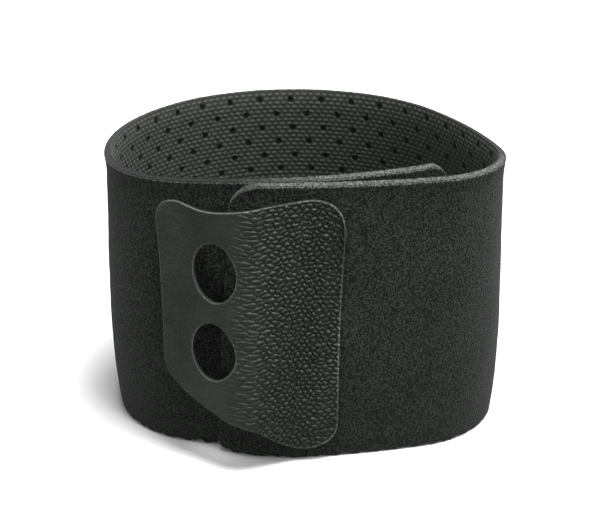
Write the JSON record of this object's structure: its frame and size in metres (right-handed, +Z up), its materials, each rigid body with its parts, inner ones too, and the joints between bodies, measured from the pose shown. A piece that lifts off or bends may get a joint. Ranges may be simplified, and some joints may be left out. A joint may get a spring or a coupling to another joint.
{
  "type": "esd wrist strap",
  "caption": "Wide black wrap band for a wrist, of perforated foam laminate with a napped outside and an embossed lining, closed at the front by a leather pull tab with two finger holes",
  "frame": {"origin": "the middle of the bounding box's bottom face, in the plane of the band's lower cut edge", "axes": "+X runs along the loop's longest side, to the viewer's right in the picture; +Z is up, across the band's width; -Y faces the viewer, on the side of the pull tab"},
  "size_m": [0.1082, 0.1032, 0.075],
  "materials": {
    "pile": "matt black napped knit that hooks hold on to",
    "foam": "matt black perforated foam rubber",
    "lining": "matt black smooth knit, embossed with small bars and perforated",
    "hook": "matt black moulded hook tape",
    "leather": "semi-matt black pebble-grain leather with a paler cut edge"
  },
  "bodies": {
    "band": {"band_pile": "pile", "band_foam": "foam", "band_lining": "lining"},
    "inner_end": {"inner_end_pile": "pile", "inner_end_foam": "foam", "inner_end_lining": "lining"},
    "front_panel": {"front_panel_pile": "pile", "front_panel_foam": "foam", "front_panel_lining": "lining"},
    "closure_end": {"closure_end_pile": "pile", "closure_end_foam": "foam", "closure_end_lining": "lining", "hook_tape": "hook", "tab_root_leather": "leather"},
    "pull_tab": {"pull_tab_leather": "leather"}
  },
  "joints": [
    {"name": "inner_end_flex", "type": "hinge", "parent": "band", "child": "inner_end", "pos_m": [0.00509, -0.03249, 0.0375], "axis": [0.0181, 0.0625, 0.9979], "range_deg": [0, 28], "stiffness_Nm_per_rad": 0.02},
    {"name": "front_swing", "type": "hinge", "parent": "band", "child": "front_panel", "pos_m": [0.05114, -0.02273, 0.0375], "axis": [0.0448, 0.0634, 0.997], "range_deg": [0, 100], "stiffness_Nm_per_rad": 0.02},
    {"name": "closure_peel", "type": "hinge", "parent": "front_panel", "child": "closure_end", "pos_m": [0.01251, -0.04057, 0.0375], "axis": [0.0524, 0.0572, 0.997], "range_deg": [0, 110], "stiffness_Nm_per_rad": 0.015},
    {"name": "tab_lift", "type": "hinge", "parent": "closure_end", "child": "pull_tab", "pos_m": [0.00148, -0.04319, 0.0375], "axis": [0.0519, 0.0677, 0.9964], "range_deg": [0, 75], "stiffness_Nm_per_rad": 0.008}
  ]
}
